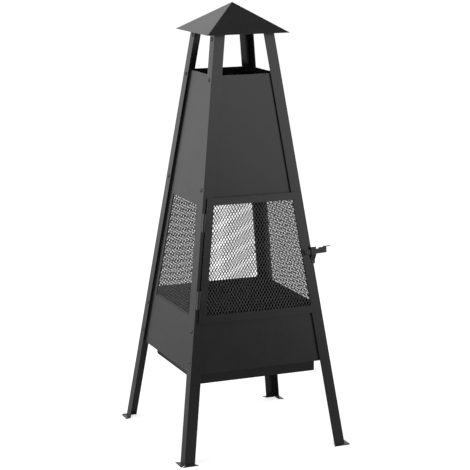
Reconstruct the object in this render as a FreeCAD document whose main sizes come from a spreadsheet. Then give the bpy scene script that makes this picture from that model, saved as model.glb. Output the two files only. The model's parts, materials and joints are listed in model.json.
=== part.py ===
"""Garden chiminea in black painted sheet steel, an assembly of separate pieces.

Four leaning angle legs carry sheet panels, mesh windows, a pyramid roof, a fire grate
and an ash drawer.  The mesh door hangs on two lift-off hinges and closes on a drop latch.
Frame: millimetres, +Z up, door towards -Y, origin on the floor under the roof's point.
"""
import FreeCAD, Part
import os
import Sketcher
from math import sqrt
from FreeCAD import Placement, Rotation, Vector

doc = FreeCAD.newDocument("chiminea")

# ---------------------------------------------------------------- driving dimensions

SIZES = {
    # body outline
    "roof_apex": 1000.0, "base_half": 196.6, "lean": 0.1341,
    # angle legs and their feet
    "leg_width": 25.0, "leg_wall": 2.0,
    "tab_reach": 10.0, "tab_wall": 1.5, "tab_flare": 5.0, "tab_overhang": 7.0,
    "tab_setback": 2.0, "relief_side": 2.5, "relief_rise": 2.5,
    # roof
    "eave_reach": 27.3, "eave_level": 936.0, "roof_wall": 1.2,
    "strap_width": 16.0, "strap_edge": 6.0, "strap_low": 913.0,
    # sheet panels: a border behind the leg, a step, and a field set further in
    "sheet_wall": 1.0, "panel_step": 3.0, "border_width": 22.0, "return_width": 20.0,
    "upper_top": 845.6, "upper_low": 560.0, "door_head": 575.0,
    "lower_top": 317.0, "lower_low": 196.0, "top_lip": 18.0, "low_lip": 14.0, "corner_gap": 0.3,
    # mesh windows
    "stile_reach": 47.0, "mesh_wall": 2.0, "mesh_lap": 15.0, "mesh_inset": 24.0,
    # fire grate
    "grate_gap": 1.0, "rim_width": 12.0, "rim_height": 9.5, "grate_inset": 3.0,
    # floor plate, drawer runners and ash drawer
    "floor_wall": 1.0, "floor_gap": 0.5, "hatch_half": 118.0,
    "tray_width": 277.0, "tray_length": 282.0, "tray_height": 21.5, "tray_wall": 1.0,
    "tray_shift": -5.5, "tray_setback": 7.0, "tray_gap": 0.5,
    "runner_wall": 1.5, "runner_lip": 10.0, "runner_length": 262.0, "runner_rest": 0.3,
    # door
    "door_low": 308.0, "door_high": 581.0, "door_inset": 9.0, "door_rail": 16.5,
    "door_wall": 2.0, "door_stand": 2.5, "door_lap": 12.0,
    # lift-off hinges
    "knuckle_radius": 4.5, "knuckle_length": 19.5, "hinge_inset": 3.8, "hinge_reach": 14.0,
    "leaf_wall": 1.5, "weld_width": 5.0, "pin_radius": 2.5, "pin_head": 4.0,
    "pin_head_wall": 1.5, "pin_short": 1.0, "hinge_gap": 0.1,
    "hinge_high": 529.5, "hinge_low": 361.5,
    # drop latch
    "latch_level": 444.0, "latch_inset": 18.7, "bracket_side": 13.0, "bracket_wall": 1.5,
    "lever_wall": 2.5, "lever_height": 11.0, "lever_reach": 52.0, "lever_rise": 2.5,
    "lever_step": 34.0, "step_rise": 2.0, "thumb_start": 44.0, "thumb_reach": 62.0,
    "thumb_wall": 2.0, "stud_spare": 3.0, "washer_wall": 1.0, "washer_radius": 5.0,
    "keeper_offset": 19.0, "keeper_width": 12.0, "keeper_wall": 2.0, "keeper_foot": 9.0,
    "keeper_low": 418.0, "keeper_top": 456.0, "keeper_gap": 0.6, "rest_gap": 0.3,
    "rivet_radius": 1.6, "rivet_head": 3.2, "rivet_rise": 1.4, "rivet_shift": 2.0,
    # fasteners
    "bolt_radius": 2.5, "bolt_inset": 14.0, "head_radius": 4.75, "head_rise": 2.6,
    "nut_flats": 8.0, "nut_wall": 4.0, "thread_spare": 1.5, "bolt_fit": 0.1, "fit": 0.05,
    "drill_length": 30.0,
    "roof_bolt": 924.0, "upper_bolt_high": 836.0, "upper_bolt_low": 597.0,
    "lower_bolt_high": 290.0, "lower_bolt_low": 223.0,
}
DERIVED = {
    "stretch": "sqrt(1 + lean * lean)",                # slope length per unit of height
    "tilt": "atan(lean) / 1deg",                       # lean of a face, in degrees
    "eave_half": "base_half - lean * eave_level + eave_reach",
    "roof_slope": "(roof_apex - eave_level) / eave_half",
    "leg_top": "(roof_apex - roof_wall - roof_slope * base_half) / (1 - roof_slope * lean)",
    "strap_top": "leg_top + roof_slope * leg_wall / (1 - roof_slope * lean)",
    "border_start": "leg_wall + sheet_wall + corner_gap",
    "field_depth": "leg_wall + panel_step",            # outer face of a panel's field
    "screen_depth": "field_depth + sheet_wall",        # outer face of a window's mesh
    "grate_level": "lower_top + rim_height",
    "grate_half": "base_half - lean * grate_level - screen_depth - mesh_wall - grate_gap",
    "floor_level": "lower_low + sheet_wall",
    "floor_half": "base_half - lean * floor_level - screen_depth - floor_gap",
    "tray_front": "tray_setback - (base_half - lean * lower_low)",
    "tray_low": "lower_low - tray_gap - tray_height",
    "hatch_centre": "tray_front + tray_length / 2",
    "runner_front": "field_depth + low_lip + tray_gap - (base_half - lean * lower_low)",
    "door_front": "door_stand + door_wall",            # door frame's front, off the legs
    "lever_back": "door_front + bracket_wall + fit",
    "lever_front": "lever_back + lever_wall",
    "tongue_back": "lever_front + keeper_gap",
}

sheet = doc.addObject("Spreadsheet::Sheet", "sizes")
for row, (alias, content) in enumerate([*SIZES.items(), *DERIVED.items()], start=1):
    sheet.set(f"A{row}", alias)
    sheet.set(f"B{row}", f"={content}" if isinstance(content, str) else str(content))
    sheet.setAlias(f"B{row}", alias)
doc.recompute()


def size(alias):
    """A value from the sheet as a plain number."""
    found = getattr(sheet, alias)
    return float(getattr(found, "Value", found))


def value(formula):
    """A formula over the sheet as a plain number."""
    found = sheet.evalExpression(formula)
    return float(getattr(found, "Value", found))


def half(level, *steps):
    """Formula: half width over the legs at a height, less each step."""
    return f"(sizes.base_half - sizes.lean * ({level})" + "".join(f" - ({s})" for s in steps) + ")"


# ---------------------------------------------------------------- building blocks

def bind(obj, formulas):
    """Bind each property to its formula."""
    for prop, formula in formulas.items():
        obj.setExpression(prop, formula)


def across(*steps):
    """The two edges of a sheet, the same distance in from each corner of its face."""
    return (lambda level: "-" + half(level, *steps)), (lambda level: half(level, *steps))


def corner_strip(side, near, far):
    """The two edges of a strip along one corner of a face: side is -1 left or 1 right."""
    edges = [lambda level, step=step: f"{side} * " + half(level, step) for step in (near, far)]
    return edges if side < 0 else edges[::-1]


def slab(name, turn, levels, edges, outer, inner):
    """A flat sheet that leans with the face at a turn, between two levels.

    outer and inner are its faces' depths behind the legs' outer faces.
    """
    wedge = doc.addObject("Part::Wedge", name)
    wedge.Placement = Placement(Vector(), Rotation(turn, 0, 0) * Rotation(Vector(1, 0, 0), 90))
    for level, (side, height) in zip(levels, (("", "Ymin"), ("2", "Ymax"))):
        low_x, high_x = (f"X{side}min", f"X{side}max")
        low_z, high_z = (f"Z{side}min", f"Z{side}max")
        bind(wedge, {height: level, low_x: edges[0](level), high_x: edges[1](level),
                     low_z: half(level, inner), high_z: half(level, outer)})
    return wedge


def block(name, corner, spans):
    """A box from its lowest corner and its three spans."""
    box = doc.addObject("Part::Box", name)
    bind(box, dict(zip(("Placement.Base.x", "Placement.Base.y", "Placement.Base.z"), corner)))
    bind(box, dict(zip(("Length", "Width", "Height"), spans)))
    return box


def join(name, pieces):
    """Pieces fused into one solid."""
    fuse = doc.addObject("Part::MultiFuse", name)
    fuse.Shapes = pieces
    return fuse


def cut(name, base, tool):
    """A base with a tool taken away."""
    result = doc.addObject("Part::Cut", name)
    result.Base = base
    result.Tool = tool
    return result


def hold_point(sketch, item, end, x, y):
    """Fix one point of a sketch at two formulas."""
    for kind, formula in (("DistanceX", x), ("DistanceY", y)):
        place = Sketcher.Constraint(kind, -1, 1, item, end, value(formula))
        sketch.setExpression(f"Constraints[{sketch.addConstraint(place)}]", formula)


def draw_polygon(sketch, points):
    """A closed outline whose corners are pairs of formulas."""
    first = sketch.GeometryCount
    corners = [Vector(value(x), value(y), 0) for x, y in points]
    count = len(points)
    for i in range(count):
        sketch.addGeometry(Part.LineSegment(corners[i], corners[(i + 1) % count]))
    for i in range(count):
        following = first + (i + 1) % count
        sketch.addConstraint(Sketcher.Constraint("Coincident", first + i, 2, following, 1))
    for i, (x, y) in enumerate(points):
        hold_point(sketch, first + i, 1, x, y)


def draw_circle(sketch, x, y, radius):
    """A circle whose centre and radius are formulas."""
    circle = Part.Circle(Vector(value(x), value(y), 0), Vector(0, 0, 1), value(radius))
    item = sketch.addGeometry(circle)
    hold_point(sketch, item, 3, x, y)
    index = sketch.addConstraint(Sketcher.Constraint("Radius", item, value(radius)))
    sketch.setExpression(f"Constraints[{index}]", radius)


def add_feature(body, kind, outlines, length=None, role="XY_Plane", centred=False):
    """A pad, or a pocket right through, from outlines drawn on an origin plane."""
    number = len(body.Group)
    sketch = body.newObject("Sketcher::SketchObject", f"{body.Name}_outline{number}")
    plane = next(item for item in body.Origin.OriginFeatures if item.Role == role)
    sketch.AttachmentSupport = [(plane, "")]
    sketch.MapMode = "FlatFace"
    for outline in outlines:
        if isinstance(outline, tuple):
            draw_circle(sketch, *outline)
        else:
            draw_polygon(sketch, outline)
    feature = body.newObject(f"PartDesign::{kind}", f"{body.Name}_{kind.lower()}{number}")
    feature.Profile = sketch
    if kind == "Pocket":
        feature.Type = "ThroughAll"
    else:
        feature.setExpression("Length", length)
    feature.Midplane = centred or kind == "Pocket"
    return feature


def plate(name, outlines, length, **options):
    """A body of one pad."""
    body = doc.addObject("PartDesign::Body", name)
    add_feature(body, "Pad", outlines, length, **options)
    return body


def rectangle(x_low, x_high, y_low, y_high):
    return [(x_low, y_low), (x_high, y_low), (x_high, y_high), (x_low, y_high)]


def front_rotation():
    """Turns X, Y and Z to across, up the slope and out of the front face."""
    return Rotation(Vector(1, 0, 0), 90 - size("tilt"))


def on_front(obj, across_formula, level, out):
    """Set an object at a point of the front face, its Z outward."""
    obj.Placement = Placement(Vector(), front_rotation())
    bind(obj, {"Placement.Base.x": across_formula,
               "Placement.Base.y": f"-{half(level)} - ({out}) / sizes.stretch",
               "Placement.Base.z": f"({level}) + ({out}) * sizes.lean / sizes.stretch"})


def face_point(turn, side, level, depth):
    """Placement of a fastener in a leg's flange, its Z outward, at a depth."""
    width = value(half(str(level))) - size("bolt_inset")
    out = -depth / size("stretch")
    base = Vector(side * width, -value(half(str(level))) - out, level + out * size("lean"))
    return Placement(Vector(), Rotation(turn, 0, 0)) * Placement(base, front_rotation())


def group(name, shape, placements):
    """Copies of one solid that share a node."""
    node = doc.addObject("Part::Feature", name)
    copies = [shape.copy() for _ in placements]
    for copy, placement in zip(copies, placements):
        copy.Placement = placement
    node.Shape = Part.makeCompound(copies)
    return node


# ---------------------------------------------------------------- fasteners and their bores

UPPER_LEVELS = ("upper_bolt_high", "upper_bolt_low")
LOWER_LEVELS = ("lower_bolt_high", "lower_bolt_low")
FACES = {"front": 0, "right": 90, "back": 180, "left": 270}


def bores(name, turn, aliases):
    """Cutting tool for one face: a bore at both legs for each bolt level."""
    tools = []
    for alias in aliases:
        for side in (-1, 1):
            drill = doc.addObject("Part::Cylinder", f"{name}_{alias}_{'lr'[side > 0]}")
            drill.Placement = face_point(turn, side, size(alias), size("drill_length") / 2)
            bind(drill, {"Radius": "sizes.bolt_radius + sizes.bolt_fit", "Height": "sizes.drill_length"})
            tools.append(drill)
    return join(name, tools)


def dome(radius, rise):
    """A round head: the cap of a sphere, flat side at zero."""
    ball = (radius * radius + rise * rise) / (2 * rise)
    cap = Part.makeSphere(ball, Vector(0, 0, rise - ball))
    box = Part.makeBox(4 * radius, 4 * radius, rise, Vector(-2 * radius, -2 * radius, 0))
    return cap.common(box)


def bolt():
    """Dome-headed screw, seat of the head at zero, shank running down."""
    length = (size("leg_wall") + 2 * size("sheet_wall") + size("nut_wall") + size("thread_spare"))
    shank = Part.makeCylinder(size("bolt_radius"), length, Vector(0, 0, -length))
    return dome(size("head_radius"), size("head_rise")).fuse(shank).removeSplitter()


def hexagon(flats, height):
    """Solid six-sided prism standing on zero."""
    side = flats / sqrt(3)
    ring = [Rotation(60 * i, 0, 0).multVec(Vector(side, 0, 0)) for i in range(7)]
    return Part.Face(Part.makePolygon(ring)).extrude(Vector(0, 0, height))


def nut():
    """Hexagon nut hanging below its seat at zero."""
    solid = hexagon(size("nut_flats"), size("nut_wall"))
    solid.translate(Vector(0, 0, -size("nut_wall")))
    bore = Part.makeCylinder(size("bolt_radius") + size("fit"), 3 * size("nut_wall"),
                             Vector(0, 0, -2 * size("nut_wall")))
    return solid.cut(bore)


def fasteners(name, turn, aliases):
    """Bolts and nuts of one face, two for each level."""
    wall, skin = size("leg_wall"), size("sheet_wall")
    heads, seats = [], []
    for alias in aliases:
        for side in (-1, 1):
            at_front = (turn == FACES["left"] and side > 0) or (turn == FACES["right"] and side < 0)
            layers = 2 if at_front and alias != "roof_bolt" else 1
            heads.append(face_point(turn, side, size(alias), 0.0))
            seats.append(face_point(turn, side, size(alias), wall + layers * skin))
    return [group(f"{name}_bolts", bolt(), heads), group(f"{name}_nuts", nut(), seats)]


# ---------------------------------------------------------------- legs

def foot_tab(name, turn, mirrored):
    """A toe bent outward from one flange, wider at its outer edge."""
    edge = "-sizes.base_half"
    inner = f"{edge} + sizes.leg_wall"
    outer = f"{edge} - sizes.tab_reach"
    start = f"{edge} + sizes.tab_setback"
    end = f"{edge} + sizes.leg_width"
    points = [(start, inner), (start, edge), (f"{edge} - sizes.tab_overhang", outer),
              (f"{end} + sizes.tab_flare", outer), (end, edge), (end, inner)]
    if mirrored:
        points = [(y, x) for x, y in points]
    tab = plate(name, [points], "sizes.tab_wall")
    tab.Placement = Placement(Vector(), Rotation(turn, 0, 0))
    return tab


def make_leg(name, turn, tool):
    """Angle section on one corner, with toes, a corner relief and its bolt holes."""
    spans = ("0", "sizes.leg_top")
    flanges = [slab(f"{name}_flange_a", turn, spans, corner_strip(-1, "0", "sizes.leg_width"),
                    "0", "sizes.leg_wall"),
               slab(f"{name}_flange_b", turn - 90, spans, corner_strip(1, "0", "sizes.leg_width"),
                    "0", "sizes.leg_wall")]
    toes = [foot_tab(f"{name}_toe_a", turn, False), foot_tab(f"{name}_toe_b", turn, True)]
    corner = "-sizes.base_half - sizes.tab_wall"
    side = "sizes.relief_side + sizes.tab_wall"
    relief = plate(f"{name}_relief", [rectangle(corner, f"{corner} + {side}", corner, f"{corner} + {side}")],
                   "2 * sizes.relief_rise", centred=True)
    relief.Placement = Placement(Vector(), Rotation(turn, 0, 0))
    tools = join(f"{name}_tools", [relief, *tool])
    return cut(name, join(f"{name}_blank", flanges + toes), tools)


# ---------------------------------------------------------------- sheet panels

def sheet_section(name, turn, levels, reach, returned=False):
    """Border, step and field of a sheet between two levels.

    reach is how far in from the corner the field goes, or None for right across.
    """
    pieces = []
    step_inner = "sizes.border_width + sizes.sheet_wall"
    start = "sizes.leg_wall + sizes.sheet_wall" if returned else "sizes.border_start"
    for side, word in ((-1, "left"), (1, "right")):
        pieces.append(slab(f"{name}_{word}_border", turn, levels,
                           corner_strip(side, start, step_inner),
                           "sizes.leg_wall", "sizes.leg_wall + sizes.sheet_wall"))
        pieces.append(slab(f"{name}_{word}_step", turn, levels,
                           corner_strip(side, "sizes.border_width", step_inner),
                           "sizes.leg_wall", "sizes.screen_depth"))
        if returned:
            pieces.append(slab(f"{name}_{word}_return", turn, levels,
                               corner_strip(side, start, start + " + sizes.sheet_wall"),
                               "sizes.leg_wall", "sizes.return_width"))
        if reach:
            pieces.append(slab(f"{name}_{word}_field", turn, levels,
                               corner_strip(side, "sizes.border_width", reach),
                               "sizes.field_depth", "sizes.screen_depth"))
    if not reach:
        pieces.append(slab(f"{name}_field", turn, levels, across("sizes.border_width"),
                           "sizes.field_depth", "sizes.screen_depth"))
    return pieces


def lip(name, turn, low, high, reach):
    """A level ledge folded inward from a panel's edge."""
    return slab(name, turn, (low, high), across("sizes.mesh_inset"), "sizes.field_depth",
                f"sizes.field_depth + {reach}")


def make_panels(drills):
    """Upper and lower panels on all four faces."""
    nodes = []
    for word, turn in FACES.items():
        folded = word == "front"
        bottom = "sizes.door_head" if folded else "sizes.upper_low"
        upper = sheet_section(f"upper_{word}", turn, (bottom, "sizes.upper_top"), None, folded)
        lower = sheet_section(f"lower_{word}", turn, ("sizes.lower_low", "sizes.lower_top"), None, folded)
        lower.append(lip(f"lower_{word}_top_lip", turn,
                         "sizes.lower_top - sizes.sheet_wall", "sizes.lower_top", "sizes.top_lip"))
        lower.append(lip(f"lower_{word}_low_lip", turn,
                         "sizes.lower_low", "sizes.lower_low + sizes.sheet_wall", "sizes.low_lip"))
        nodes.append(cut(f"upper_panel_{word}", join(f"upper_{word}_blank", upper), drills[word]))
        nodes.append(cut(f"lower_panel_{word}", join(f"lower_{word}_blank", lower), drills[word]))
    return nodes


# ---------------------------------------------------------------- mesh windows and fire grate

def make_windows():
    """Jamb strips and mesh of the left, right and back windows.

    The back window is open to the legs' edges, so its strips stop there.
    """
    nodes = []
    for word in ("left", "right", "back"):
        turn = FACES[word]
        reach = "sizes.leg_width" if word == "back" else "sizes.stile_reach"
        strips = sheet_section("jamb", turn, ("sizes.lower_top", "sizes.upper_low"), reach)
        halves = [join(f"stile_{word}_{end}", [p for p in strips if p.Name.startswith(f"jamb_{end}")])
                  for end in ("left", "right")]
        stiles = doc.addObject("Part::Compound", f"window_stiles_{word}")
        stiles.Links = halves
        screen = slab(f"mesh_screen_{word}", turn,
                      ("sizes.lower_top", "sizes.upper_low + sizes.mesh_lap"),
                      across("sizes.mesh_inset"),
                      "sizes.screen_depth", "sizes.screen_depth + sizes.mesh_wall")
        nodes += [stiles, screen]
    return nodes


def square(reach):
    return rectangle(f"-({reach})", reach, f"-({reach})", reach)


def make_grate():
    """Square rim lying on the lower panels' ledges, and the mesh on top of it."""
    inner = "sizes.grate_half - sizes.rim_width"
    rim = plate("grate_rim", [square("sizes.grate_half"), square(inner)], "sizes.rim_height")
    rim.setExpression("Placement.Base.z", "sizes.lower_top")
    mesh = plate("grate_mesh", [square("sizes.grate_half - sizes.grate_inset")], "sizes.mesh_wall")
    mesh.setExpression("Placement.Base.z", "sizes.grate_level")
    return [rim, mesh]


# ---------------------------------------------------------------- roof

def pyramid(name, drop, below):
    """Solid pyramid with the roof's slope, lowered by a drop and extended below the eave."""
    wedge = doc.addObject("Part::Wedge", name)
    wedge.Placement = Placement(Vector(), Rotation(Vector(1, 0, 0), 90))
    low = f"sizes.eave_level - ({below})"
    top = f"sizes.roof_apex - ({drop})"
    reach = f"(({top}) - ({low})) / sizes.roof_slope"
    bind(wedge, {"Ymin": low, "Ymax": top, "Xmin": "-" + reach, "Xmax": reach,
                 "Zmin": "-" + reach, "Zmax": reach,
                 "X2min": "0", "X2max": "0", "Z2min": "0", "Z2max": "0"})
    return wedge


def make_roof(drills):
    """Pyramid cap and the four straps welded under it."""
    cap = cut("roof_cap", pyramid("roof_outside", "0", "0"),
              pyramid("roof_inside", "sizes.roof_wall", "sizes.roof_wall"))
    straps = []
    for word in ("left", "right"):
        for side, end in ((-1, "a"), (1, "b")):
            strip = slab(f"strap_{word}_{end}_blank", FACES[word], ("sizes.strap_low", "sizes.strap_top"),
                         corner_strip(side, "sizes.strap_edge", "sizes.strap_edge + sizes.strap_width"),
                         "sizes.leg_wall", "sizes.leg_wall + sizes.sheet_wall")
            straps.append(cut(f"strap_{word}_{end}", strip, drills[word]))
    group_node = doc.addObject("Part::Compound", "roof_straps")
    group_node.Links = straps
    return [cap, group_node]


# ---------------------------------------------------------------- floor plate and ash drawer

def make_floor():
    """Plate on the lower ledges, with a square hatch over the drawer."""
    hatch = rectangle("sizes.tray_shift - sizes.hatch_half", "sizes.tray_shift + sizes.hatch_half",
                      "sizes.hatch_centre - sizes.hatch_half", "sizes.hatch_centre + sizes.hatch_half")
    floor = plate("floor_plate", [square("sizes.floor_half"), hatch], "sizes.floor_wall")
    floor.setExpression("Placement.Base.z", "sizes.floor_level")
    return floor


def make_runner(word, side):
    """Angle strip welded under the floor plate, its ledge below the drawer's edge."""
    reach = "sizes.tray_width / 2 + sizes.tray_gap"
    low = "(sizes.tray_low - sizes.runner_rest - sizes.runner_wall)"
    points = [(reach, "sizes.floor_level"), (f"{reach} + sizes.runner_wall", "sizes.floor_level"),
              (f"{reach} + sizes.runner_wall", low), (f"{reach} - sizes.runner_lip", low),
              (f"{reach} - sizes.runner_lip", f"{low} + sizes.runner_wall"),
              (reach, f"{low} + sizes.runner_wall")]
    if side < 0:
        points = [(f"-({x})", z) for x, z in points]
    runner = plate(f"drawer_runner_{word}", [points], "sizes.runner_length", role="XZ_Plane")
    runner.Tip.Reversed = True
    bind(runner, {"Placement.Base.x": "sizes.tray_shift", "Placement.Base.y": "sizes.runner_front"})
    return runner


def make_tray():
    """Open ash drawer of folded sheet."""
    corner = ("sizes.tray_shift - sizes.tray_width / 2", "sizes.tray_front", "sizes.tray_low")
    spans = ("sizes.tray_width", "sizes.tray_length", "sizes.tray_height")
    inner_corner = [f"{place} + sizes.tray_wall" for place in corner]
    inner_spans = [f"{span} - 2 * sizes.tray_wall" for span in spans[:2]] + [spans[2]]
    return cut("ash_tray", block("tray_outside", corner, spans),
               block("tray_inside", inner_corner, inner_spans))


# ---------------------------------------------------------------- door and hinges

def door_outline(side_inset, low_inset, high_inset):
    """A tapering outline on the front face, in from the door's own edges."""
    low = f"(sizes.door_low + ({low_inset}))"
    high = f"(sizes.door_high - ({high_inset}))"
    edge = f"sizes.door_inset + ({side_inset})"
    return [("-" + half(low, edge), f"{low} * sizes.stretch"), (half(low, edge), f"{low} * sizes.stretch"),
            (half(high, edge), f"{high} * sizes.stretch"),
            ("-" + half(high, edge), f"{high} * sizes.stretch")]


def make_door():
    """Flat frame and the mesh welded behind it."""
    rail = "sizes.door_rail"
    frame = plate("door_frame", [door_outline("0", "0", "0"), door_outline(rail, rail, rail)],
                  "sizes.door_wall")
    on_front(frame, "0", "0", "sizes.door_stand")
    lap = "sizes.door_rail - sizes.door_lap"
    mesh = plate("door_mesh", [door_outline(lap, lap, lap)], "sizes.mesh_wall")
    on_front(mesh, "0", "0", "sizes.door_stand - sizes.mesh_wall")
    return [frame, mesh]


def hinge_place(level):
    """Frame on the door's turning axis: Z up the leg's edge, Y towards the leg."""
    lean, stretch = size("lean"), size("stretch")
    width = value(half(str(level)))
    inward = Vector(0, 1 / stretch, -lean / stretch)
    up = Vector(lean, lean, 1).normalize()
    base = Vector(size("hinge_inset") - width, -width, level) - inward * size("door_front")
    return Placement(base, Rotation(inward.cross(up), inward, up, "ZYX"))


def make_hinge(word, level):
    """Lift-off hinge: the door's half above the leg's half, on a headed pin."""
    place = hinge_place(level)
    bore = ("0", "0", "sizes.pin_radius + sizes.fit")
    barrel = ("0", "0", "sizes.knuckle_radius")
    door_half = plate(f"hinge_door_{word}", [barrel], "sizes.knuckle_length")
    add_feature(door_half, "Pad", [rectangle("0", "sizes.hinge_reach", "-sizes.leaf_wall", "0")],
                "sizes.knuckle_length")
    add_feature(door_half, "Pocket", [bore])
    door_half.Placement = place * Placement(Vector(0, 0, size("hinge_gap")), Rotation())
    leg_half = plate(f"hinge_leg_{word}", [barrel], "sizes.knuckle_length")
    weld = rectangle("-sizes.weld_width / 2", "sizes.weld_width / 2", "0", "sizes.door_front")
    add_feature(leg_half, "Pad", [weld], "sizes.knuckle_length")
    add_feature(leg_half, "Pocket", [bore])
    leg_half.Placement = place * Placement(Vector(0, 0, -size("knuckle_length")), Rotation())
    pin = plate(f"hinge_pin_{word}", [("0", "0", "sizes.pin_radius")],
                "2 * sizes.knuckle_length + sizes.pin_head_wall - sizes.pin_short")
    add_feature(pin, "Pad", [("0", "0", "sizes.pin_head")], "sizes.pin_head_wall")
    down = size("knuckle_length") + size("pin_head_wall")
    pin.Placement = place * Placement(Vector(0, 0, -down), Rotation())
    return [door_half, leg_half, pin]


# ---------------------------------------------------------------- drop latch

PIVOT = half("sizes.latch_level", "sizes.latch_inset")


def make_lever():
    """Flat lever: round eye, bar with a raised grip, and a thin thumb piece."""
    middle = "sizes.lever_height / 2"
    rise = "sizes.lever_rise"
    slope = "sizes.lever_rise / sizes.lever_reach"
    step = "sizes.lever_step"
    grip = f"({middle} + {rise} + sizes.step_rise)"
    points = [("0", f"-({middle})"), ("sizes.lever_reach", f"{rise} - {middle}"),
              ("sizes.lever_reach", grip), ("sizes.thumb_reach", grip),
              ("sizes.thumb_reach", f"{grip} + sizes.thumb_wall"),
              ("sizes.thumb_start", f"{grip} + sizes.thumb_wall"), ("sizes.thumb_start", grip),
              (step, grip), (f"{step} - sizes.step_rise", f"{middle} + {step} * {slope}"),
              ("0", middle)]
    lever = plate("latch_lever", [points], "sizes.lever_wall")
    add_feature(lever, "Pad", [("0", "0", "sizes.bracket_side / 2")], "sizes.lever_wall")
    add_feature(lever, "Pocket", [("0", "0", "sizes.bolt_radius + sizes.fit")])
    on_front(lever, PIVOT, "sizes.latch_level", "sizes.lever_back")
    return lever


def make_latch_pivot():
    """Bracket plate on the door, welded stud, washer and dome nut."""
    side = "sizes.bracket_side / 2"
    bore = ("0", "0", "sizes.bolt_radius + sizes.fit")
    bracket = plate("latch_bracket", [square(side), bore], "sizes.bracket_wall")
    on_front(bracket, PIVOT, "sizes.latch_level", "sizes.door_front")
    length = "sizes.lever_front - sizes.door_front + sizes.fit + sizes.washer_wall + sizes.stud_spare"
    stud = plate("latch_stud", [("0", "0", "sizes.bolt_radius")], length)
    on_front(stud, PIVOT, "sizes.latch_level", "sizes.door_front")
    washer = plate("latch_washer", [("0", "0", "sizes.washer_radius"), bore], "sizes.washer_wall")
    on_front(washer, PIVOT, "sizes.latch_level", "sizes.lever_front + sizes.fit")
    cap = doc.addObject("Part::Feature", "latch_nut")
    seat = hexagon(size("nut_flats"), size("stud_spare") + size("fit"))
    hollow = Part.makeCylinder(size("bolt_radius") + size("fit"), size("stud_spare") + size("fit"))
    crown = dome(size("nut_flats") / 2, size("head_rise"))
    crown.translate(Vector(0, 0, size("stud_spare") + size("fit")))
    cap.Shape = seat.cut(hollow).fuse(crown)
    on_front(cap, PIVOT, "sizes.latch_level", "sizes.lever_front + sizes.fit + sizes.washer_wall")
    return [bracket, stud, washer, cap]


def make_keeper():
    """Bent strip on the leg: foot, slope and the tongue in front of the lever."""
    centre = f"{PIVOT} + sizes.keeper_offset"
    droop = "sizes.lever_rise * (sizes.keeper_offset - sizes.keeper_width / 2) / sizes.lever_reach"
    seat = ("((sizes.latch_level - sizes.keeper_low) * sizes.stretch - sizes.lever_height / 2"
            f" + {droop} - sizes.rest_gap)")
    top = "(sizes.keeper_top - sizes.keeper_low) * sizes.stretch"
    front = "sizes.tongue_back + sizes.keeper_wall"
    points = [("0", "0"), ("sizes.keeper_foot", "0"), (seat, "sizes.tongue_back"),
              (top, "sizes.tongue_back"), (top, front), (f"{seat} - sizes.keeper_wall / 2", front),
              ("sizes.keeper_foot - sizes.keeper_wall / 2", "sizes.keeper_wall"),
              ("0", "sizes.keeper_wall")]
    strip = plate("keeper_strip", [points], "sizes.keeper_width", role="YZ_Plane", centred=True)
    on_front(strip, centre, "sizes.keeper_low", "0")
    return strip


def rivet_place(depth):
    """Placement of the keeper's rivet, its Z outward."""
    level = size("keeper_low") + size("keeper_foot") / 2
    out = -depth / size("stretch")
    width = value(PIVOT) + size("keeper_offset") - size("rivet_shift")
    base = Vector(width, -value(half(str(level))) - out, level + out * size("lean"))
    return Placement(base, front_rotation())


def rivet_bore():
    """Cutting tool for the keeper's rivet."""
    drill = doc.addObject("Part::Cylinder", "rivet_bore")
    drill.Placement = rivet_place(size("drill_length") / 2)
    bind(drill, {"Radius": "sizes.rivet_radius + sizes.fit", "Height": "sizes.drill_length"})
    return drill


def rivet():
    """Round-headed rivet on the keeper's foot, clenched flush behind the leg."""
    length = size("keeper_wall") + size("leg_wall")
    shank = Part.makeCylinder(size("rivet_radius"), length, Vector(0, 0, -length))
    return dome(size("rivet_head"), size("rivet_rise")).fuse(shank).removeSplitter()


# ---------------------------------------------------------------- assembly

def build():
    """Every sub-part of the chiminea, as document objects."""
    side_levels = ("roof_bolt", *UPPER_LEVELS, *LOWER_LEVELS)
    back_levels = (*UPPER_LEVELS, *LOWER_LEVELS)
    drills = {"left": bores("bores_left", FACES["left"], side_levels),
              "right": bores("bores_right", FACES["right"], side_levels),
              "back": bores("bores_back", FACES["back"], back_levels)}
    drills["front"] = join("bores_front", [drills["left"], drills["right"]])
    keeper_drill = rivet_bore()
    nodes = [make_leg("leg_front_left", 0, [drills["left"]]),
             make_leg("leg_front_right", 90, [drills["right"], keeper_drill]),
             make_leg("leg_back_right", 180, [drills["right"], drills["back"]]),
             make_leg("leg_back_left", 270, [drills["left"], drills["back"]])]
    nodes += make_panels(drills) + make_windows() + make_grate() + make_roof(drills)
    nodes += [make_floor(), make_runner("left", -1), make_runner("right", 1), make_tray()]
    nodes += make_door() + make_hinge("upper", size("hinge_high")) + make_hinge("lower", size("hinge_low"))
    nodes += [make_lever(), *make_latch_pivot(), cut("latch_keeper", make_keeper(), keeper_drill)]
    nodes.append(group("keeper_rivet", rivet(), [rivet_place(-size("keeper_wall"))]))
    for word in ("left", "right"):
        nodes += fasteners(f"panel_{word}", FACES[word], back_levels)
        nodes += fasteners(f"roof_{word}", FACES[word], ("roof_bolt",))
    nodes += fasteners("panel_back", FACES["back"], back_levels)
    return nodes


def check(nodes):
    """Stop on any failed object or bad shape before a file is written."""
    for item in doc.Objects:
        if {"Invalid", "Error"} & set(item.State):
            raise RuntimeError(f"{item.Name} did not compute: {item.State}")
    for node in nodes:
        if node.Shape.isNull() or not node.Shape.isValid() or not node.Shape.Solids:
            raise RuntimeError(f"{node.Name} has no sound shape")


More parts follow.
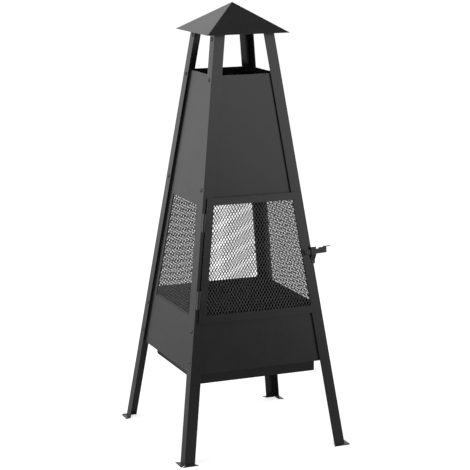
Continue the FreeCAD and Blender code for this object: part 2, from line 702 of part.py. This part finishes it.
sub_parts = build()
doc.recompute()
check(sub_parts)
os.makedirs("parts", exist_ok=True)
for sub_part in sub_parts:
    sub_part.Label = sub_part.Name
    sub_part.Shape.exportStep(f"parts/{sub_part.Label}.step")
print(f"{len(sub_parts)} nodes, {sum(len(node.Shape.Solids) for node in sub_parts)} solids")
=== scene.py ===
"""Tall black steel garden chiminea: painted angle and sheet, with expanded-metal windows.

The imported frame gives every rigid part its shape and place. This script cuts the
expanded metal, lays the weld beads, paints each part and lights it. Lengths are in metres.
"""
import json
import math

import bmesh
import bpy
from mathutils import Matrix, Vector


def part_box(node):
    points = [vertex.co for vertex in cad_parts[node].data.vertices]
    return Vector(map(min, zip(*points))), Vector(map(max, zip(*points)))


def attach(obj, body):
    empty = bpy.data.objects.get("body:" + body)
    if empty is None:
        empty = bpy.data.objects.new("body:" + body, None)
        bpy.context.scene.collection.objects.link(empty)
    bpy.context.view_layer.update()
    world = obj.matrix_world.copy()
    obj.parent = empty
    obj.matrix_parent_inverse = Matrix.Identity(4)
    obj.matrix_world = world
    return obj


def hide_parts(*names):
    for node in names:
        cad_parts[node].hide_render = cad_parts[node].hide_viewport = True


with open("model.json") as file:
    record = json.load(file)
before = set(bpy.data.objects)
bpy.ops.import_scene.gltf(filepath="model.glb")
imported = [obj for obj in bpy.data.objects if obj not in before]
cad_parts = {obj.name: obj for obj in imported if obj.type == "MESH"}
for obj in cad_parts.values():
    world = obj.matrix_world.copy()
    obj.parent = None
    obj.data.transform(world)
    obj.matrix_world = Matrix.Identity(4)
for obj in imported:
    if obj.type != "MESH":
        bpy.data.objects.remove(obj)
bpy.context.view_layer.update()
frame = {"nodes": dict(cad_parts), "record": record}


# ------------------------------------------------------------ node helpers

def feed(tree, socket, value):
    """Drive an input from an output, or set it to a colour or a plain number."""
    if isinstance(value, bpy.types.NodeSocket):
        tree.links.new(value, socket)
    elif isinstance(value, tuple):
        socket.default_value = (*value, 1.0)
    else:
        socket.default_value = value


def math_node(tree, operation, first, second, clamp=False):
    """A math node whose operands are sockets or numbers; returns its output."""
    node = tree.nodes.new("ShaderNodeMath")
    node.operation, node.use_clamp = operation, clamp
    feed(tree, node.inputs[0], first)
    feed(tree, node.inputs[1], second)
    return node.outputs[0]


def ramp(tree, value, start, end, first=0.0, last=1.0):
    """The value mapped from start..end to first..last, and held beyond them."""
    node = tree.nodes.new("ShaderNodeMapRange")
    for label, number in (("From Min", start), ("From Max", end), ("To Min", first), ("To Max", last)):
        node.inputs[label].default_value = number
    tree.links.new(value, node.inputs["Value"])
    return node.outputs[0]


def split_axes(tree, vector):
    """The X, Y and Z outputs of a vector."""
    node = tree.nodes.new("ShaderNodeSeparateXYZ")
    tree.links.new(vector, node.inputs[0])
    return node.outputs


def object_place(tree):
    """Object coordinates of the point being shaded."""
    return tree.nodes.new("ShaderNodeTexCoord").outputs["Object"]


def noise_on_object(tree, scale, detail, roughness=0.5, drawn=1.0):
    """Noise over Object coordinates, scale per metre; drawn below 1 draws it out upward."""
    stretch = tree.nodes.new("ShaderNodeMapping")
    stretch.inputs["Scale"].default_value = (1.0, 1.0, drawn)
    noise = tree.nodes.new("ShaderNodeTexNoise")
    tree.links.new(object_place(tree), stretch.inputs["Vector"])
    tree.links.new(stretch.outputs[0], noise.inputs["Vector"])
    feed(tree, noise.inputs["Scale"], scale)
    noise.inputs["Detail"].default_value = detail
    noise.inputs["Roughness"].default_value = roughness
    return noise.outputs[0]


def mix_colour(tree, mask, first, second):
    """Colour mix by a mask; each side is a socket or a plain colour."""
    node = tree.nodes.new("ShaderNodeMix")
    node.data_type = "RGBA"
    tree.links.new(mask, node.inputs[0])
    feed(tree, node.inputs[6], first)
    feed(tree, node.inputs[7], second)
    return node.outputs[2]


def new_material(name):
    """A material, its tree and its Principled shader."""
    material = bpy.data.materials.new(name)
    material.use_nodes = True
    return material, material.node_tree, material.node_tree.nodes["Principled BSDF"]


# ------------------------------------------------------------ shared finish groups

def new_group(name, inputs, outputs):
    """An empty shader group with float inputs (name, value); a Normal output is a vector."""
    tree = bpy.data.node_groups.new(name, "ShaderNodeTree")
    for label, value in inputs:
        socket = tree.interface.new_socket(label, in_out="INPUT", socket_type="NodeSocketFloat")
        socket.default_value = value
    for label in outputs:
        kind = "NodeSocketVector" if label.endswith("Normal") else "NodeSocketFloat"
        tree.interface.new_socket(label, in_out="OUTPUT", socket_type=kind)
    return tree, tree.nodes.new("NodeGroupInput"), tree.nodes.new("NodeGroupOutput")


def make_paint_skin():
    """Height of orange peel and fine grain, with a slow drift and upright streaks in tone."""
    tree, given, result = new_group(
        "paint_skin", [("Peel Scale", 420.0), ("Grain Scale", 2600.0), ("Grain Share", 0.35)],
        ["Height", "Drift", "Streak"])
    drift_scale, streak_scale, streak_drawn = 14.0, 260.0, 0.02
    peel = noise_on_object(tree, given.outputs["Peel Scale"], 2.0)
    grain = noise_on_object(tree, given.outputs["Grain Scale"], 2.0)
    fine = math_node(tree, "MULTIPLY", grain, given.outputs["Grain Share"])
    tree.links.new(math_node(tree, "ADD", peel, fine), result.inputs["Height"])
    tree.links.new(noise_on_object(tree, drift_scale, 4.0, 0.6), result.inputs["Drift"])
    tree.links.new(noise_on_object(tree, streak_scale, 3.0, 0.6, streak_drawn), result.inputs["Streak"])
    return tree


def make_edge_wear_and_highlight():
    """Folded edges rounded in the light, and a mask along the edges for paint rubbed off by handling and
    for a painted highlight line.
    """
    tree, given, result = new_group("edge_wear_and_highlight", [("Radius", 0.0009), ("Patchiness", 0.6)],
                                    ["Rub", "Soft Normal"])
    edge_gain, patch_scale = 4.0, 60.0
    soft = tree.nodes.new("ShaderNodeBevel")
    soft.samples = 4
    tree.links.new(given.outputs["Radius"], soft.inputs["Radius"])
    tree.links.new(soft.outputs[0], result.inputs["Soft Normal"])
    plain = tree.nodes.new("ShaderNodeNewGeometry")
    compare = tree.nodes.new("ShaderNodeVectorMath")
    compare.operation = "DOT_PRODUCT"
    tree.links.new(soft.outputs[0], compare.inputs[0])
    tree.links.new(plain.outputs["Normal"], compare.inputs[1])
    turned = math_node(tree, "SUBTRACT", 1.0, compare.outputs["Value"])
    strong = math_node(tree, "MULTIPLY", turned, edge_gain, clamp=True)
    patches = math_node(tree, "MULTIPLY", noise_on_object(tree, patch_scale, 5.0, 0.65),
                        given.outputs["Patchiness"])
    kept = math_node(tree, "SUBTRACT", 1.0, patches)
    tree.links.new(math_node(tree, "MULTIPLY", strong, kept), result.inputs["Rub"])
    return tree


def make_dust_and_top_highlight():
    """Mask of fine dust that settles on faces turned up, which also paints a highlight on those tops."""
    tree, given, result = new_group("dust_and_top_highlight", [("Amount", 0.3)], ["Dust"])
    fleck_scale = 90.0
    plain = tree.nodes.new("ShaderNodeNewGeometry")
    upward = math_node(tree, "MULTIPLY", split_axes(tree, plain.outputs["Normal"])["Z"], 1.0, clamp=True)
    broken = math_node(tree, "MULTIPLY", upward, noise_on_object(tree, fleck_scale, 6.0, 0.7))
    tree.links.new(math_node(tree, "MULTIPLY", broken, given.outputs["Amount"]), result.inputs["Dust"])
    return tree


PAINT_SKIN, EDGE_WEAR_AND_HIGHLIGHT, DUST_AND_TOP_HIGHLIGHT = make_paint_skin(), make_edge_wear_and_highlight(), make_dust_and_top_highlight()


def place_group(tree, group, label, value):
    """One use of a shared group, with one of its inputs set."""
    node = tree.nodes.new("ShaderNodeGroup")
    node.node_tree = group
    node.inputs[label].default_value = value
    return node.outputs


# ------------------------------------------------------------ paints

DARKER, LIGHTER = 0.7, 1.3         # how far the tone drifts either side of a paint's colour
# pale grey laid on faces turned up, as dust and as a painted highlight on tops and lips
DUST_AND_HIGHLIGHT_COLOUR = (0.16, 0.155, 0.15)
DUST_DULLS = 0.4                   # roughness that a full layer of dust adds


def paint(name, colour, worn_and_highlight_colour, gloss, peel, bump, wear_and_highlight_share, dust_and_highlight_amount, shine=0.5):
    """Sprayed black finish, with edges lightened as rubbed paint and as a painted highlight, and faces
    turned up lightened as a little dust and as a painted highlight.
    """
    material, tree, shader = new_material(name)
    shader.inputs["Specular IOR Level"].default_value = shine
    skin = place_group(tree, PAINT_SKIN, "Peel Scale", peel)
    edges = place_group(tree, EDGE_WEAR_AND_HIGHLIGHT, "Patchiness", 1.0 - wear_and_highlight_share)
    dust_and_highlight = place_group(tree, DUST_AND_TOP_HIGHLIGHT, "Amount", dust_and_highlight_amount)["Dust"]
    tone = math_node(tree, "ADD", math_node(tree, "MULTIPLY", skin["Drift"], 0.5),
                     math_node(tree, "MULTIPLY", skin["Streak"], 0.5))
    dark, light = (tuple(share * c for c in colour) for share in (DARKER, LIGHTER))
    # edges are lightened both as rubbed paint and as a painted highlight line
    worn_and_highlit = mix_colour(tree, math_node(tree, "MULTIPLY", edges["Rub"], wear_and_highlight_share),
                        mix_colour(tree, tone, dark, light), worn_and_highlight_colour)
    # faces turned up are lightened as dust and as a painted highlight
    feed(tree, shader.inputs["Base Color"], mix_colour(tree, dust_and_highlight, worn_and_highlit, DUST_AND_HIGHLIGHT_COLOUR))
    low, high = gloss
    rough = math_node(tree, "ADD", math_node(tree, "MULTIPLY", tone, high - low), low)
    dulled = math_node(tree, "MULTIPLY", dust_and_highlight, DUST_DULLS)
    feed(tree, shader.inputs["Roughness"], math_node(tree, "ADD", rough, dulled, clamp=True))
    raised = tree.nodes.new("ShaderNodeBump")
    raised.inputs["Strength"].default_value = 1.0
    raised.inputs["Distance"].default_value = bump
    tree.links.new(skin["Height"], raised.inputs["Height"])
    tree.links.new(edges["Soft Normal"], raised.inputs["Normal"])
    tree.links.new(raised.outputs["Normal"], shader.inputs["Normal"])
    return material


# colour, colour of worn and painted-highlight edges, roughness span, peel scale per metre, peel depth,
# share of edge wear and painted highlight, share of dust and painted top highlight, shine
FINISHES = {name: paint(name, *values) for name, values in {
    "leg_paint": ((0.0065, 0.0065, 0.007), (0.030, 0.030, 0.031), (0.20, 0.36), 420, 2e-5, 0.5, 0.06),
    # panel, door and mesh edge colours are set high so their edges carry painted highlight lines as well as
    # wear
    "panel_paint": ((0.0065, 0.0065, 0.007), (0.080, 0.080, 0.081), (0.20, 0.38), 380, 2e-5, 0.5, 0.06),
    "roof_paint": ((0.0065, 0.0065, 0.007), (0.030, 0.030, 0.031), (0.18, 0.36), 380, 2e-5, 0.5, 0.02),
    "mesh_paint": ((0.012, 0.012, 0.0125), (0.13, 0.13, 0.135), (0.26, 0.42), 700, 1.5e-5, 0.7, 0.02, 0.9),
    # grate_soot: the floor plate and grate inside the fire box get a darker, duller black than the outside
    # paint, as painted shade of the inside
    "grate_soot": ((0.004, 0.004, 0.004), (0.010, 0.010, 0.010), (0.60, 0.80), 900, 4e-5, 0.2, 0.02, 0.08),
    "door_paint": ((0.0065, 0.0065, 0.007), (0.080, 0.080, 0.081), (0.20, 0.36), 420, 2e-5, 0.5, 0.06),
    "ironwork_paint": ((0.006, 0.006, 0.0065), (0.04, 0.04, 0.041), (0.24, 0.40), 600, 2e-5, 0.7, 0.05),
    "fastener_black": ((0.005, 0.005, 0.0055), (0.05, 0.05, 0.052), (0.12, 0.22), 900, 1e-5, 0.8, 0.04),
    "tray_paint": ((0.006, 0.006, 0.006), (0.025, 0.025, 0.025), (0.34, 0.50), 500, 2.5e-5, 0.4, 0.04, 0.3),
}.items()}


# ------------------------------------------------------------ rigid parts from the frame

SLOT_OF = {part["node"]: part["material_slot"] for part in frame["record"]["subparts"]}
for node, item in frame["nodes"].items():
    finish = FINISHES[SLOT_OF[node]]
    if not item.material_slots:
        item.data.materials.append(finish)
    for place in item.material_slots:
        place.link = "OBJECT"
        place.material = finish


# ------------------------------------------------------------ new pieces

LEAN = 0.1341                      # how far a face leans in for each metre up
OUTWARD = {word: Vector(way).normalized() for word, way in {
    "front": (0, -1, LEAN), "left": (-1, 0, LEAN), "right": (1, 0, LEAN), "back": (0, 1, LEAN)}.items()}
ACROSS = {"front": Vector((1, 0, 0)), "left": Vector((0, -1, 0)),
          "right": Vector((0, 1, 0)), "back": Vector((-1, 0, 0))}


def piece_from(name, shape):
    """Object made from a finished bmesh, at the origin and unscaled."""
    bmesh.ops.recalc_face_normals(shape, faces=shape.faces[:])
    data = bpy.data.meshes.new(name)
    shape.to_mesh(data)
    shape.free()
    piece = bpy.data.objects.new(name, data)
    bpy.context.scene.collection.objects.link(piece)
    return piece


def finish_piece(piece, slot, body):
    """Paint a new piece with the finish of a slot and let it ride on a body."""
    piece.data.materials.append(FINISHES[slot])
    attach(piece, body)


# ------------------------------------------------------------ expanded metal

CELL_WIDTH, CELL_HEIGHT = 0.00724, 0.0125   # one diamond, side to side and top to bottom
STRAND, STRAND_GAUGE = 0.00096, 0.0009      # a strand's width and thickness
STRAND_TWIST = 0.00045             # how far a strand's edge is turned out of the sheet
DOOR_MESH_SKEW = math.radians(-1.3)         # the door's mesh sits slightly turned
SHORTEST_CUT = 0.0006              # a trimmed edge shorter than this is closed up
LEAST_HOLE = 0.45                  # a trimmed cell under this share of a whole one stays solid
SAME_POINT = 1e-5                  # vertices this close are one corner


def lattice(width, height):
    """Flat sheet of slit and stretched diamonds that covers a rectangle round zero."""
    spare = 2
    count = math.ceil(width / CELL_WIDTH + height / CELL_HEIGHT) + spare
    half_side = count / math.sqrt(8)        # makes each cell 1 from corner to corner
    shape = bmesh.new()
    bmesh.ops.create_grid(shape, x_segments=count, y_segments=count, size=half_side)
    bmesh.ops.rotate(shape, verts=shape.verts[:], matrix=Matrix.Rotation(math.radians(45), 3, "Z"))
    bmesh.ops.scale(shape, verts=shape.verts[:], vec=(CELL_WIDTH, CELL_HEIGHT, 1.0))
    return shape


def sheet_corners(node, outward, across):
    """Middle-plane corners of a flat frame node, from the lower left round to the upper left."""
    points = []
    for vertex in frame["nodes"][node].data.vertices:
        if all((vertex.co - point).length > SAME_POINT for point in points):
            points.append(vertex.co.copy())
    rise = outward.cross(across)
    middle = sum((p.dot(rise) for p in points), 0.0) / len(points)
    lower = [p for p in points if p.dot(rise) < middle]
    upper = [p for p in points if p.dot(rise) >= middle]
    ends = []
    for level, side in ((lower, -1), (lower, 1), (upper, 1), (upper, -1)):
        reach = sorted(level, key=lambda p: side * p.dot(across))[-2:]
        ends.append((reach[0] + reach[1]) / 2)
    return ends


def expanded_sheet(name, node, outward, across, body, skew=0.0):
    """Expanded metal in place of a flat frame node, trimmed to that node's corners."""
    corners = sheet_corners(node, outward, across)
    centre = sum(corners, Vector()) / 4
    up = ((corners[3] + corners[2]) - (corners[0] + corners[1])).normalized()
    right = up.cross(outward).normalized()
    turn = Matrix((right, up, right.cross(up))).transposed().to_4x4()
    to_frame = Matrix.Translation(centre) @ turn
    flat = [to_frame.inverted() @ corner for corner in corners]
    shape = lattice(2 * max(abs(c.x) for c in flat), 2 * max(abs(c.y) for c in flat))
    bmesh.ops.rotate(shape, verts=shape.verts[:], matrix=Matrix.Rotation(skew, 3, "Z"))
    for corner, following in zip(flat, flat[1:] + flat[:1]):
        run = following - corner
        bmesh.ops.bisect_plane(shape, geom=shape.verts[:] + shape.edges[:] + shape.faces[:],
                               plane_co=corner, plane_no=(run.y, -run.x, 0), clear_outer=True)
    bmesh.ops.remove_doubles(shape, verts=shape.verts[:], dist=SHORTEST_CUT)
    whole = CELL_WIDTH * CELL_HEIGHT / 2
    holes = [f for f in shape.faces if f.calc_area() > LEAST_HOLE * whole]
    bmesh.ops.inset_individual(shape, faces=holes, thickness=STRAND / 2, use_even_offset=True)
    for hole in holes:
        middle = hole.calc_center_median().y
        for corner in hole.verts:
            rise = max(-1.0, min(1.0, (corner.co.y - middle) / (CELL_HEIGHT / 2 - STRAND)))
            corner.co.z -= STRAND_TWIST * rise
    bmesh.ops.delete(shape, geom=holes, context="FACES")
    bmesh.ops.solidify(shape, geom=shape.faces[:], thickness=STRAND_GAUGE)
    middle = sum((v.co.z for v in shape.verts), 0.0) / len(shape.verts)
    bmesh.ops.translate(shape, verts=shape.verts[:], vec=(0, 0, -middle))
    bmesh.ops.transform(shape, matrix=to_frame, verts=shape.verts[:])
    sheet = piece_from(name, shape)
    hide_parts(node)
    finish_piece(sheet, SLOT_OF[node], body)


for word in ("left", "right", "back"):
    expanded_sheet(f"expanded_{word}", f"mesh_screen_{word}", OUTWARD[word], ACROSS[word], "root")
expanded_sheet("expanded_door", "door_mesh", OUTWARD["front"], ACROSS["front"], "door", DOOR_MESH_SKEW)
expanded_sheet("expanded_grate", "grate_mesh", Vector((0, 0, 1)), ACROSS["front"], "root")


# ------------------------------------------------------------ weld beads

LEAF_REACH = 0.014                 # hinge axis to the free edge of the door's leaf
LEG_GAP = 0.0045                   # hinge axis to the leg's face
STRAP_HALF = 0.0025                # half the width of the strip that joins a knuckle to the leg
WELD_INSET = 0.002                 # each bead stops this far inside its knuckle's ends
LEAF_BEAD, STRAP_BEAD = 0.0011, 0.0009      # bead radii
RIPPLE_STEP = 1.1                  # from one ripple to the next, in bead radii
RIPPLE_SIZE = (0.95, 1.0, 0.7)     # a ripple along, across and out, in bead radii


def weld_bead(name, start, end, outward, radius, body):
    """A run of overlapping ripples laid from start to end, half sunk in the surface."""
    run = end - start
    along = run.normalized()
    turn = Matrix((along, outward.cross(along), outward)).transposed().to_4x4()
    count = max(2, round(run.length / (RIPPLE_STEP * radius)))
    size = Matrix.Diagonal((*RIPPLE_SIZE, 1.0))
    shape = bmesh.new()
    for step in range(count):
        place = Matrix.Translation(start + run * step / (count - 1))
        bmesh.ops.create_uvsphere(shape, u_segments=10, v_segments=6, radius=radius,
                                  matrix=place @ turn @ size)
    bead = piece_from(name, shape)
    for face in bead.data.polygons:
        face.use_smooth = True
    finish_piece(bead, "ironwork_paint", body)


FRONT = OUTWARD["front"]
HINGE = next(joint for joint in frame["record"]["behaviour"]["joints"] if joint["name"] == "door_hinge")
hinge_base = Vector(HINGE["pos_m"])
axis_up = -Vector(HINGE["axis"]).normalized()
aside = axis_up.cross(FRONT)


def axis_ends(node):
    """Where a bead along a hinge half starts and ends, on the hinge's axis."""
    low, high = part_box(node)
    return [hinge_base + axis_up * (level - hinge_base.z) / axis_up.z
            for level in (low.z + WELD_INSET, high.z - WELD_INSET)]


for word in ("upper", "lower"):
    start, end = axis_ends(f"hinge_door_{word}")
    edge = aside * LEAF_REACH
    weld_bead(f"weld_leaf_{word}", start + edge, end + edge, FRONT, LEAF_BEAD, "door")
    start, end = axis_ends(f"hinge_leg_{word}")
    for side, mark in ((-1, "out"), (1, "in")):
        edge = aside * side * STRAP_HALF - FRONT * LEG_GAP
        weld_bead(f"weld_strap_{word}_{mark}", start + edge, end + edge, FRONT, STRAP_BEAD, "root")


# ------------------------------------------------------------ studio

WHITE, BLACK = (1.0, 1.0, 1.0), (0.0, 0.0, 0.0)


def make_floor():
    """Pale floor, wide enough to reach past every view.

    It is plain white to the camera, and in reflections it fades in from near to far.
    """
    half_width, glow, near, far = 40.0, 0.68, 1.0, 7.0
    shape = bmesh.new()
    bmesh.ops.create_grid(shape, x_segments=1, y_segments=1, size=half_width)
    floor = piece_from("studio_floor", shape)
    material, tree, shader = new_material("floor_white")
    feed(tree, shader.inputs["Base Color"], (0.7, 0.7, 0.7))
    shader.inputs["Roughness"].default_value = 0.9
    shader.inputs["Specular IOR Level"].default_value = 0.0
    reach = tree.nodes.new("ShaderNodeVectorMath")
    reach.operation = "LENGTH"
    tree.links.new(object_place(tree), reach.inputs[0])
    path = tree.nodes.new("ShaderNodeLightPath").outputs
    mirrored = math_node(tree, "MULTIPLY", path["Is Glossy Ray"],
                         ramp(tree, reach.outputs["Value"], near, far))
    shown = math_node(tree, "MAXIMUM", path["Is Camera Ray"], path["Is Transmission Ray"])
    feed(tree, shader.inputs["Emission Strength"],
         math_node(tree, "MULTIPLY", math_node(tree, "MAXIMUM", shown, mirrored), glow))
    feed(tree, shader.inputs["Emission Color"], WHITE)
    floor.data.materials.append(material)


def make_world():
    """White surround for the camera and reflections, dim overhead, and at half strength as a lamp."""
    dim_from, dim_to, dimmest, as_lamp = 0.5, 0.8, 0.2, 0.5
    world = bpy.data.worlds.new("studio_surround")
    bpy.context.scene.world = world
    world.use_nodes = True
    tree = world.node_tree
    background = tree.nodes["Background"]
    aim = tree.nodes.new("ShaderNodeTexCoord")
    overhead = ramp(tree, split_axes(tree, aim.outputs["Generated"])["Z"], dim_from, dim_to, 1.0, dimmest)
    path = tree.nodes.new("ShaderNodeLightPath").outputs
    seen = math_node(tree, "MAXIMUM",
                     math_node(tree, "MAXIMUM", path["Is Camera Ray"], path["Is Glossy Ray"]),
                     path["Is Transmission Ray"])
    shown = math_node(tree, "MULTIPLY", seen, overhead)
    ambient = math_node(tree, "MULTIPLY", math_node(tree, "SUBTRACT", 1.0, seen), as_lamp)
    feed(tree, background.inputs["Strength"], math_node(tree, "ADD", shown, ambient))
    feed(tree, background.inputs["Color"], WHITE)


def make_front_card():
    """Reflector in front, brighter higher up and to the right, seen only in reflections."""
    half_width, middle = 2.0, (0.4, -1.4, 1.7)
    upward_gain, aside_gain, aside_zero, offset = 1.9, 1.6, 0.485, 0.22
    dimmest, brightest = 0.2, 1.6
    shape = bmesh.new()
    bmesh.ops.create_grid(shape, x_segments=1, y_segments=1, size=half_width)
    bmesh.ops.rotate(shape, verts=shape.verts[:], matrix=Matrix.Rotation(math.radians(90), 3, "X"))
    bmesh.ops.translate(shape, verts=shape.verts[:], vec=middle)
    card = piece_from("front_card", shape)
    material, tree, shader = new_material("card_light")
    feed(tree, shader.inputs["Base Color"], BLACK)
    shader.inputs["Specular IOR Level"].default_value = 0.0
    feed(tree, shader.inputs["Emission Color"], WHITE)
    axes = split_axes(tree, object_place(tree))
    upward = math_node(tree, "MULTIPLY", axes["Z"], upward_gain)
    sideways = math_node(tree, "MULTIPLY", math_node(tree, "SUBTRACT", axes["X"], aside_zero), aside_gain)
    level = math_node(tree, "SUBTRACT", math_node(tree, "ADD", upward, sideways), offset)
    feed(tree, shader.inputs["Emission Strength"],
         math_node(tree, "MINIMUM", math_node(tree, "MAXIMUM", level, dimmest), brightest))
    card.data.materials.append(material)
    card.visible_camera = card.visible_diffuse = card.visible_shadow = False
    card.visible_transmission = False


def add_lamp(name, place, size, power):
    """Square area lamp turned to a point just above the windows, and hidden from the camera."""
    target = Vector((0, 0, 0.6))
    data = bpy.data.lights.new(name, "AREA")
    data.shape, data.size, data.energy = "SQUARE", size, power
    lamp = bpy.data.objects.new(name, data)
    lamp.location = place
    lamp.rotation_euler = (target - Vector(place)).to_track_quat("-Z", "Y").to_euler()
    lamp.visible_camera = False
    bpy.context.scene.collection.objects.link(lamp)


def make_camera():
    """Long lens to the front left, higher than the roof, looking slightly down."""
    turned, dipped, rolled = math.radians(22.501), math.radians(11.925), math.radians(-0.064)
    distance, across, raised = 3.8858, 0.00588, -0.03182
    middle = Vector((0, 0, 0.5))
    back = Vector((-math.sin(turned) * math.cos(dipped), -math.cos(turned) * math.cos(dipped),
                   math.sin(dipped)))
    right = Vector((math.cos(turned), -math.sin(turned), 0))
    up = back.cross(right)
    side = math.cos(rolled) * right + math.sin(rolled) * up
    top = math.cos(rolled) * up - math.sin(rolled) * right
    data = bpy.data.cameras.new("studio_camera")
    data.sensor_width, data.lens = 36.0, 129.667
    data.clip_start, data.clip_end = 0.1, 200.0
    camera = bpy.data.objects.new("studio_camera", data)
    camera.matrix_world = (
        Matrix.Translation(middle + back * distance + right * across + up * raised)
        @ Matrix((side, top, back)).transposed().to_4x4())
    bpy.context.scene.collection.objects.link(camera)
    bpy.context.scene.camera = camera


make_floor()
make_world()
make_front_card()
make_camera()
add_lamp("key_left", (-3.0, -0.5, 1.4), size=2.0, power=50)
add_lamp("fill_right", (3.0, 0.4, 1.4), size=2.2, power=28)
bpy.context.scene.view_settings.view_transform = "Standard"
